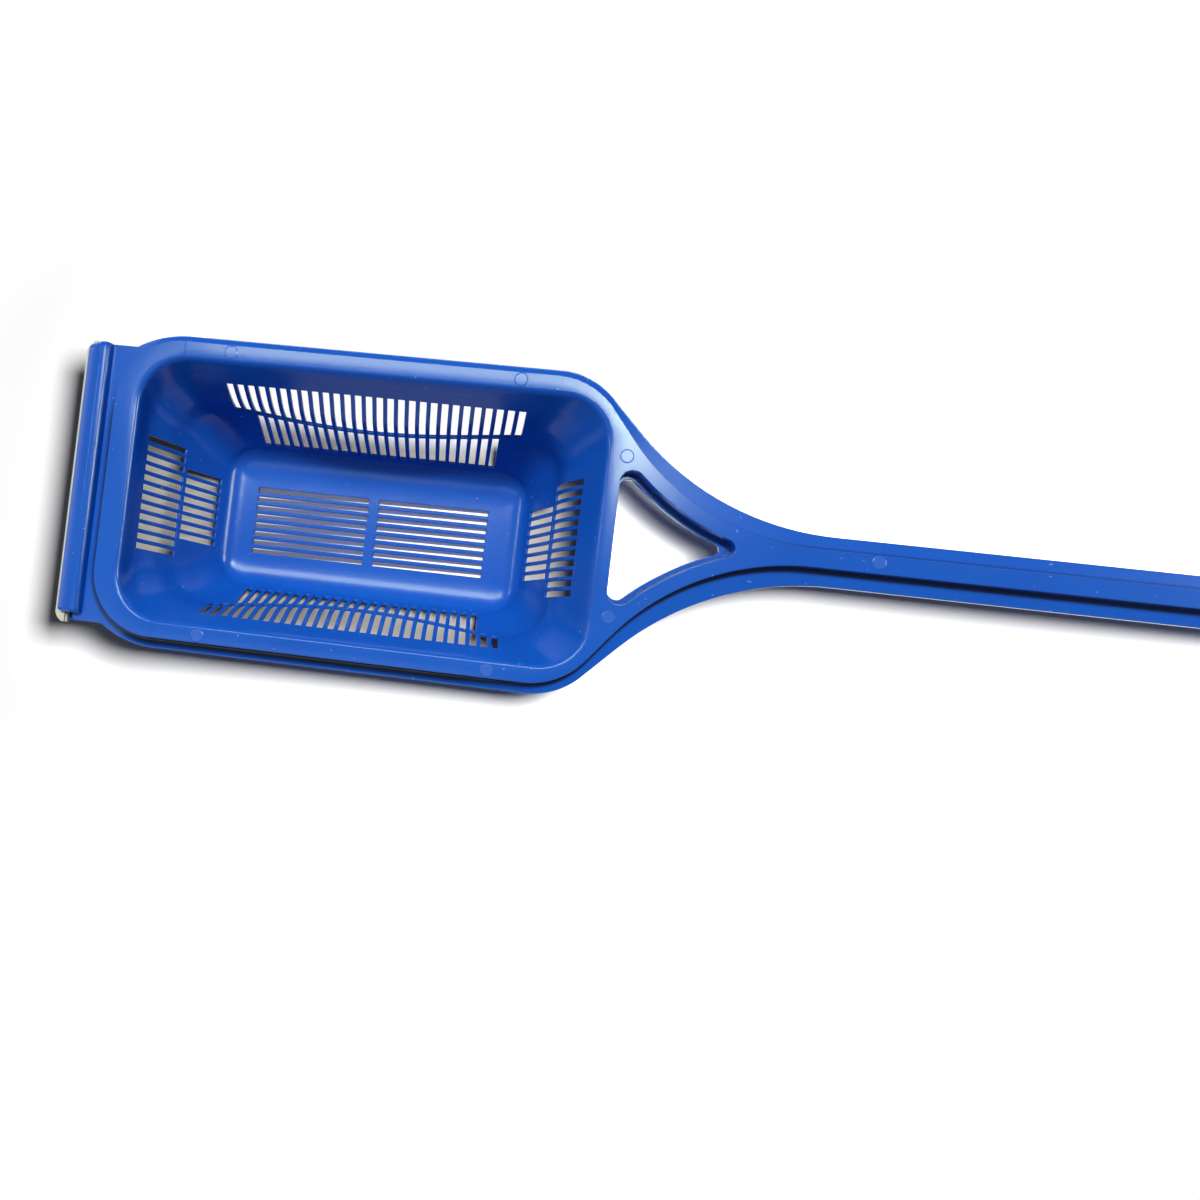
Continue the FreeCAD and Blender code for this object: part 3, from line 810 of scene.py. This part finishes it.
# Painted shade: the foot of the step, round the rim and more faintly round the window, is painted
# dark, as the shade that falls in that crease.
rim_painted_shade = 1.0
window_painted_shade = 0.45
painted_step_shades = [np.zeros(len(points)) for points, faces in patches]
for patch, line, dark in ((1, step_foot, rim_painted_shade), (2, hole_foot, window_painted_shade)):
    painted_step_shades[patch][2 * len(line):3 * len(line)] = dark

# The sheet's thickness: the floor's, the walls', which are thinner at their ends from a
# distance that grows with height, and the rim's, which the flange and the handle share.
weld = 0.004
floor_thick = 3.0
rim_thick = 2.2
side_thick = 1.6
end_thick = 1.2
thin_from = 74.0
thin_lean = 5.0
thin_over = 6.0
past_mouth = 1.0
skin_edge = 0.35
skin_edge_angle = 38.0
skin_edge_steps = 2


def welded_sheet(name, patches, painted_step_shades):
    """One mesh from patches of points and faces, with their common edges welded and the painted
    shade at the step's foot as an attribute."""
    points = np.concatenate([patch[0] for patch in patches])
    offsets = np.cumsum([0] + [len(patch[0]) for patch in patches])
    faces = []
    for (_, patch_faces), offset in zip(patches, offsets):
        faces += (patch_faces + offset).tolist()
    mesh = bpy.data.meshes.new(name)
    mesh.from_pydata((points * mm).tolist(), [], faces)
    painted_shade_layer = mesh.attributes.new("painted_step_shade", "FLOAT", "POINT")
    painted_shade_layer.data.foreach_set("value", np.concatenate(painted_step_shades))
    work = bmesh.new()
    work.from_mesh(mesh)
    bmesh.ops.remove_doubles(work, verts=work.verts, dist=weld * mm)
    work.to_mesh(mesh)
    work.free()
    mesh.shade_smooth()
    return mesh


moulding_mesh = welded_sheet("basket_moulding", patches, painted_step_shades)
basket = added("basket_moulding", moulding_mesh)
places = np.zeros(3 * len(moulding_mesh.vertices))
moulding_mesh.vertices.foreach_get("co", places)
x, y, z = places.reshape(-1, 3).T / mm
in_basket = (np.abs(x) < mouth_end + past_mouth) & (np.abs(y) < mouth_side + past_mouth)
ends_share = np.clip((np.abs(x) - thin_from - z / thin_lean) / thin_over, 0.0, 1.0)
wall_thick = side_thick + (end_thick - side_thick) * ends_share
to_rim = np.clip((z - roll_z) / (rim_z - roll_z), 0, 1)
to_wall = np.clip((z - floor_z) / (foot_z - floor_z), 0, 1)
thick = np.where(z > foot_z, wall_thick + (rim_thick - wall_thick) * to_rim,
                 floor_thick + (wall_thick - floor_thick) * to_wall)
thick = np.where(in_basket, thick, rim_thick)

# The shares of the full thickness are rounded to hundredths, so that few calls set them.
share = np.round(thick / floor_thick, 2)
thickness = basket.vertex_groups.new(name="thickness")
for value in np.unique(share):
    thickness.add(np.flatnonzero(share == value).tolist(), float(value), "REPLACE")
skin = basket.modifiers.new("skin", "SOLIDIFY")
skin.thickness = floor_thick * mm
skin.offset = -1.0
skin.use_even_offset = True
skin.vertex_group = "thickness"
edges = basket.modifiers.new("edges", "BEVEL")
edges.width = skin_edge * mm
edges.segments = skin_edge_steps
edges.limit_method = "ANGLE"
edges.angle_limit = math.radians(skin_edge_angle)
edges.harden_normals = True
edges.use_clamp_overlap = False
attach(basket, "moulding")
carried = ["grip", "neck", "hook", "lip_clamp_bar", "lip_rail", "wiper_strip"]
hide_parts(*[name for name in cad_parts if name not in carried])

# Its plastic: deep glossy blue, with faint flow waves, a fine satin grain, a few pale specks, the
# round marks of the ejector pins, whose pale tint is painted sheen, and the step where the mould's
# inserts meet.
deep_blue = (0.003, 0.076, 0.45, 1.0)
light_blue = (0.008, 0.115, 0.57, 1.0)
speck_and_sheen_blue = (0.30, 0.48, 0.85, 1.0)
# Painted shade: the near-black blue painted at the step's foot and beside the rim.
painted_shade_blue = (0.001, 0.010, 0.06, 1.0)
moulding_gloss = 0.21
gloss_varies = 0.06
wave_scale = 60.0
grain_scale = 900.0
tone_scale = 14.0
speck_scale = 620.0
speck_noise = (0.84, 0.88)
relief_depth = 0.001
wave_height = 0.02
grain_height = 0.006
mark_height = 0.16
insert_height = 0.18
speck_height = 0.03
pale_speck = 0.35
mark_painted_sheen = 0.08
pin_radius = 0.00275
pin_edge = 0.00022
rim_pins = (0.0644, 0.0635)
yoke_pins = (0.1130, 0.0348)
throat_pin = (0.2210, 0.0008)
insert_x = -0.0855
insert_edge = 0.00015
top_above = 0.0600

# Painted shade at the foot of the step: how dark it is. A painted shadow line beside the rim, which
# follows its front bends, is narrower on the lit far side and fades toward the yoke.
painted_shade_depth = 0.9
shadow_line = (0.0050, 0.0024)
lit_side_less = 0.0026
lit_side_y = (0.03, 0.06)
rim_fade_x = (0.090, 0.05)
rim_bend_x = 0.0865
rim_bend_y = 0.0383
rim_bend_round = 0.0285
below_step = 0.0625

moulding = Finish("blue_moulding")
place = moulding.node("TexCoord", out=object_place)
place_x = moulding.node("SeparateXYZ", sockets={0: place}, out=0)
place_y = moulding.node("SeparateXYZ", sockets={0: place}, out=1)
place_z = moulding.node("SeparateXYZ", sockets={0: place}, out=2)
marks = None
for mark_x, mark_y, across_x, across_y in ((abs(place_x), abs(place_y), *rim_pins),
                                           (place_x, abs(place_y), *yoke_pins),
                                           (place_x, place_y, *throat_pin)):
    away = ((mark_x - across_x) ** 2 + (mark_y - across_y) ** 2) ** 0.5
    mark = moulding.rising(away, pin_radius + pin_edge, pin_radius - pin_edge)
    marks = mark if marks is None else marks.at_least(mark)
on_top = place_z > top_above
marks = marks * on_top
insert = moulding.rising(place_x, insert_x - insert_edge, insert_x + insert_edge) * on_top
wave = moulding.noise(place, wave_scale, detail=1.0)
grain = moulding.noise(place, grain_scale, detail=1.0)
tone = moulding.noise(place, tone_scale, detail=2.0)
speck = moulding.rising(moulding.noise(place, speck_scale, detail=0.0), *speck_noise)
relief = (wave * wave_height + grain * grain_height + marks * mark_height
          + insert * insert_height + speck * speck_height)
skin_bump = moulding.node("Bump", sockets={
    "Strength": 1.0, "Distance": relief_depth, "Height": relief})
tinted = moulding.mixed(tone, deep_blue, light_blue)
# Pale specks, and painted sheen as a pale tint inside the ejector pin marks.
tinted = moulding.mixed(speck * pale_speck + marks * mark_painted_sheen, tinted, speck_and_sheen_blue)
# Painted shadow: a dark line on the flange and front plate beside the rim, where the rim's shadow
# falls.
past_front = (0.0 - place_x - rim_bend_x).at_least(0.0)
past_edge = (abs(place_y) - rim_bend_y).at_least(0.0)
off_rim = (past_front ** 2 + past_edge ** 2) ** 0.5 - rim_bend_round
lit_side = moulding.rising(place_y, *lit_side_y)
painted_rim_shadow = moulding.rising(off_rim + lit_side * lit_side_less, *shadow_line, soft=True)
painted_rim_shadow = painted_rim_shadow * (off_rim > 0.0) * (place_z < below_step)
painted_rim_shadow = painted_rim_shadow * moulding.rising(place_x, *rim_fade_x)
painted_step_shade = moulding.node("Attribute", {"attribute_name": "painted_step_shade"}, out=2).at_least(painted_rim_shadow)
# Painted shade: the step's foot and the line beside the rim are painted near black.
tinted = moulding.mixed(painted_step_shade * painted_shade_depth, tinted, painted_shade_blue)
surface = moulding.node("BsdfPrincipled", sockets={
    "Base Color": tinted,
    "Roughness": moulding_gloss + (tone - 0.5) * gloss_varies + (grain - 0.5) * gloss_varies,
    "Normal": skin_bump,
})
moulding.node("OutputMaterial", sockets={"Surface": surface})
moulding_mesh.materials.append(moulding.material)

# Clamp bar: a bar of the same blue plastic along the front plate, with a ridge along its
# back and a face that falls to the front. Its channel underneath takes the strip's key.
bar_near = 59.7
bar_far = 63.9
bar_near_round = 2.2
bar_far_round = 4.0
nose_x = -132.6
bar_back_x = -120.8
ridge_z = 65.6
nose_z = 61.6
groove_z = 58.9
ceiling_z = 60.2
channel_x = (-131.9, -129.3)
key_slot_x = -128.4
end_steps = 9
near_run = 6.0
far_run = 8.0
run_steps = 30
end_sag = 0.75
sag_above = 0.5
bar_edge = 0.3
section_bend = 15.0
piece_edge_angle = 30.0
piece_edge_steps = 3


def rounded_section(points):
    """Closed section through corner points with a radius each."""
    first, last = points[0], points[-1]
    middle = ((first[0] + last[0]) / 2.0, (first[1] + last[1]) / 2.0, 0.0)
    return rounded([middle] + list(points) + [middle], section_bend)[:-1]


def swept(name, rings):
    """One mesh skin over rings of as many points each, with a face over each end."""
    count, around = rings.shape[:2]
    faces = grid_faces(count, around, True).reshape(-1, 4).tolist()
    faces.append(list(range(around)))
    faces.append(list(range(count * around - 1, (count - 1) * around - 1, -1)))
    mesh = bpy.data.meshes.new(name)
    mesh.from_pydata((rings.reshape(-1, 3) * mm).tolist(), [], faces)
    work = bmesh.new()
    work.from_mesh(mesh)
    bmesh.ops.recalc_face_normals(work, faces=work.faces)
    work.to_mesh(mesh)
    work.free()
    mesh.shade_smooth()
    return mesh


def round_edges(piece, width):
    """Rounds a piece's sharp edges to about a width in millimetres."""
    edge = piece.modifiers.new("edges", "BEVEL")
    edge.width = width * mm
    edge.segments = piece_edge_steps
    edge.limit_method = "ANGLE"
    edge.angle_limit = math.radians(piece_edge_angle)
    edge.harden_normals = True


# The bar's section, as x, z and radius of its corners, is carried along the bar, and its
# front face draws back and its ridge sinks a little round both ends.
bar_section = rounded_section([
    (bar_back_x, 61.1, 0), (-121.2, 64.0, 1.2), (-122.6, ridge_z, 0.9), (-124.9, ridge_z, 1.1),
    (nose_x, nose_z, 0.9), (nose_x, groove_z, 0.3),
    (channel_x[0], groove_z, 0), (channel_x[0], ceiling_z, 0),
    (channel_x[1], ceiling_z, 0), (channel_x[1], groove_z, 0),
    (key_slot_x, groove_z, 0), (key_slot_x, ceiling_z, 0),
    (plate_x, ceiling_z, 0), (plate_x, 61.1, 0),
])
turn = np.linspace(0.0, math.pi / 2, end_steps)
near_steps = -bar_near + bar_near_round * (1.0 - np.cos(turn))
far_steps = bar_far - bar_far_round * (1.0 - np.cos(turn))
along_bar = np.linspace(-bar_near + near_run, bar_far - far_run, run_steps)
bar_y = np.concatenate([near_steps, along_bar, far_steps[::-1]])
past_near = np.clip((-bar_near + bar_near_round - bar_y) / bar_near_round, 0, 1)
past_far = np.clip((bar_y - bar_far + bar_far_round) / bar_far_round, 0, 1)
near_back = bar_near_round * (1 - np.sqrt(1 - past_near ** 2))
far_back = bar_far_round * (1 - np.sqrt(1 - past_far ** 2))
section_x = bar_section[None, :, 0]
section_z = bar_section[None, :, 1]
bar_x = np.maximum(section_x, nose_x + (near_back + far_back)[:, None])
sag = end_sag * (past_near ** 4 + past_far ** 4)[:, None]
bar_z = np.where(section_z > nose_z + sag_above, section_z - sag, section_z)
whole = np.ones_like(bar_x)
bar_rings = np.stack([bar_x, bar_y[:, None] * whole, bar_z * whole], axis=-1)
bar_mesh = swept("clamp_bar", bar_rings)
clamp_bar = added("clamp_bar", bar_mesh)
round_edges(clamp_bar, bar_edge)
bar_mesh.materials.append(moulding.material)
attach(clamp_bar, "moulding")
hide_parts("lip_clamp_bar")

# Rail under the plate, and grip: parts of the blue moulding. They keep the CAD's own
# shapes, as the rubber strip does too, with their triangles merged into whole faces and
# their edges rounded as a mould leaves them.
rail_edge = 0.3
grip_edge = 1.0
merge_within = 0.01
flat_within = 1.0


def softened(node_name, name, width):
    """Copy of a CAD node's mesh, merged into whole faces, with its edges rounded."""
    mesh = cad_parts[node_name].data.copy()
    mesh.name = name
    mesh.materials.clear()
    work = bmesh.new()
    work.from_mesh(mesh)
    bmesh.ops.remove_doubles(work, verts=work.verts, dist=merge_within * mm)
    bmesh.ops.dissolve_limit(work, angle_limit=math.radians(flat_within),
                             verts=work.verts, edges=work.edges)
    work.to_mesh(mesh)
    work.free()
    mesh.shade_smooth()
    piece = added(name, mesh)
    round_edges(piece, width)
    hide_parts(node_name)
    return piece


rail = softened("lip_rail", "plate_rail", rail_edge)
rail.data.materials.append(moulding.material)
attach(rail, "moulding")
grip = softened("grip", "handle_grip", grip_edge)
grip.data.materials.append(moulding.material)
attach(grip, "moulding")

# Neck and hook: one flat-sided bar of the moulding with rounded edges, which runs on from
# the grip's tail and turns back on itself round a half circle to a blunt rounded tip.
neck_y = -6.5
neck_half = 3.1
neck_start_x = 984.0
neck_end_x = 1017.4
hook_radius = 5.7
hook_tip = 4.6
hook_low_z = 60.0
hook_edge = 1.3
neck_steps = 8
bend_steps = 33
back_steps = 4
tip_steps = 9
tip_least = 0.004
straight = np.linspace(neck_start_x, neck_end_x, neck_steps)[:-1]
bend = np.linspace(-math.pi / 2, math.pi / 2, bend_steps)
back = np.linspace(0.0, hook_tip - neck_half, back_steps)[1:]
blunt = np.sin(np.linspace(0.0, math.pi / 2, tip_steps))[1:]
after_bend = len(back) + len(blunt)
hook_x = np.concatenate([straight, neck_end_x + hook_radius * np.cos(bend), neck_end_x - back,
                         neck_end_x - back[-1] - neck_half * blunt])
hook_y = np.concatenate([np.full(len(straight), neck_y), neck_y + hook_radius * (1 + np.sin(bend)),
                         np.full(after_bend, neck_y + 2 * hook_radius)])
out_x = np.concatenate([np.zeros(len(straight)), np.cos(bend), np.zeros(after_bend)])
out_y = np.concatenate([-np.ones(len(straight)), np.sin(bend), np.ones(after_bend)])
hook_half = np.full(len(hook_x), neck_half)
hook_half[-len(blunt):] = neck_half * np.sqrt(np.clip(1 - blunt ** 2, tip_least, 1))
hook_section = rounded_section([
    (-neck_half, hook_low_z, hook_edge), (neck_half, hook_low_z, hook_edge),
    (neck_half, rim_z, hook_edge), (-neck_half, rim_z, hook_edge)])
share_out = hook_section[None, :, 0] / neck_half * hook_half[:, None]
hook_rings = np.stack([hook_x[:, None] + out_x[:, None] * share_out,
                       hook_y[:, None] + out_y[:, None] * share_out,
                       hook_section[None, :, 1] * np.ones_like(share_out)], axis=-1)
hook_mesh = swept("neck_and_hook", hook_rings)
hook_piece = added("neck_and_hook", hook_mesh)
hook_mesh.materials.append(moulding.material)
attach(hook_piece, "moulding")
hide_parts("neck", "hook")

# Wiper strip: a pale, slightly clear rubber blade, cut with rounded front corners and
# slid endways into the clamp bar. It is dull on top and a little dusty.
strip_cream = (0.50, 0.53, 0.39, 1.0)
strip_dust = (0.66, 0.68, 0.56, 1.0)
strip_edge = 0.5
strip_gloss = 0.42
strip_gloss_varies = 0.2
rubber_grain_scale = 700.0
dust_scale = 90.0
grain_strength = 0.4
grain_depth = 0.0001

rubber = Finish("pale_rubber")
place = rubber.node("TexCoord", out=object_place)
grain = rubber.noise(place, rubber_grain_scale, detail=2.0)
dust = rubber.noise(place, dust_scale, detail=3.0)
rubber_bump = rubber.node("Bump", sockets={
    "Strength": grain_strength, "Distance": grain_depth, "Height": grain})
surface = rubber.node("BsdfPrincipled", sockets={
    "Base Color": rubber.mixed(dust, strip_cream, strip_dust),
    "Roughness": strip_gloss + (dust - 0.5) * strip_gloss_varies,
    "Normal": rubber_bump,
})
rubber.node("OutputMaterial", sockets={"Surface": surface})
strip_piece = softened("wiper_strip", "rubber_strip", strip_edge)
strip_piece.data.materials.append(rubber.material)
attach(strip_piece, "wiper")

# The CAD's nodes are all stood for by these pieces, and wear the same two finishes.
for name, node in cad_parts.items():
    for material_slot in node.material_slots:
        material_slot.material = rubber.material if name == "wiper_strip" else moulding.material
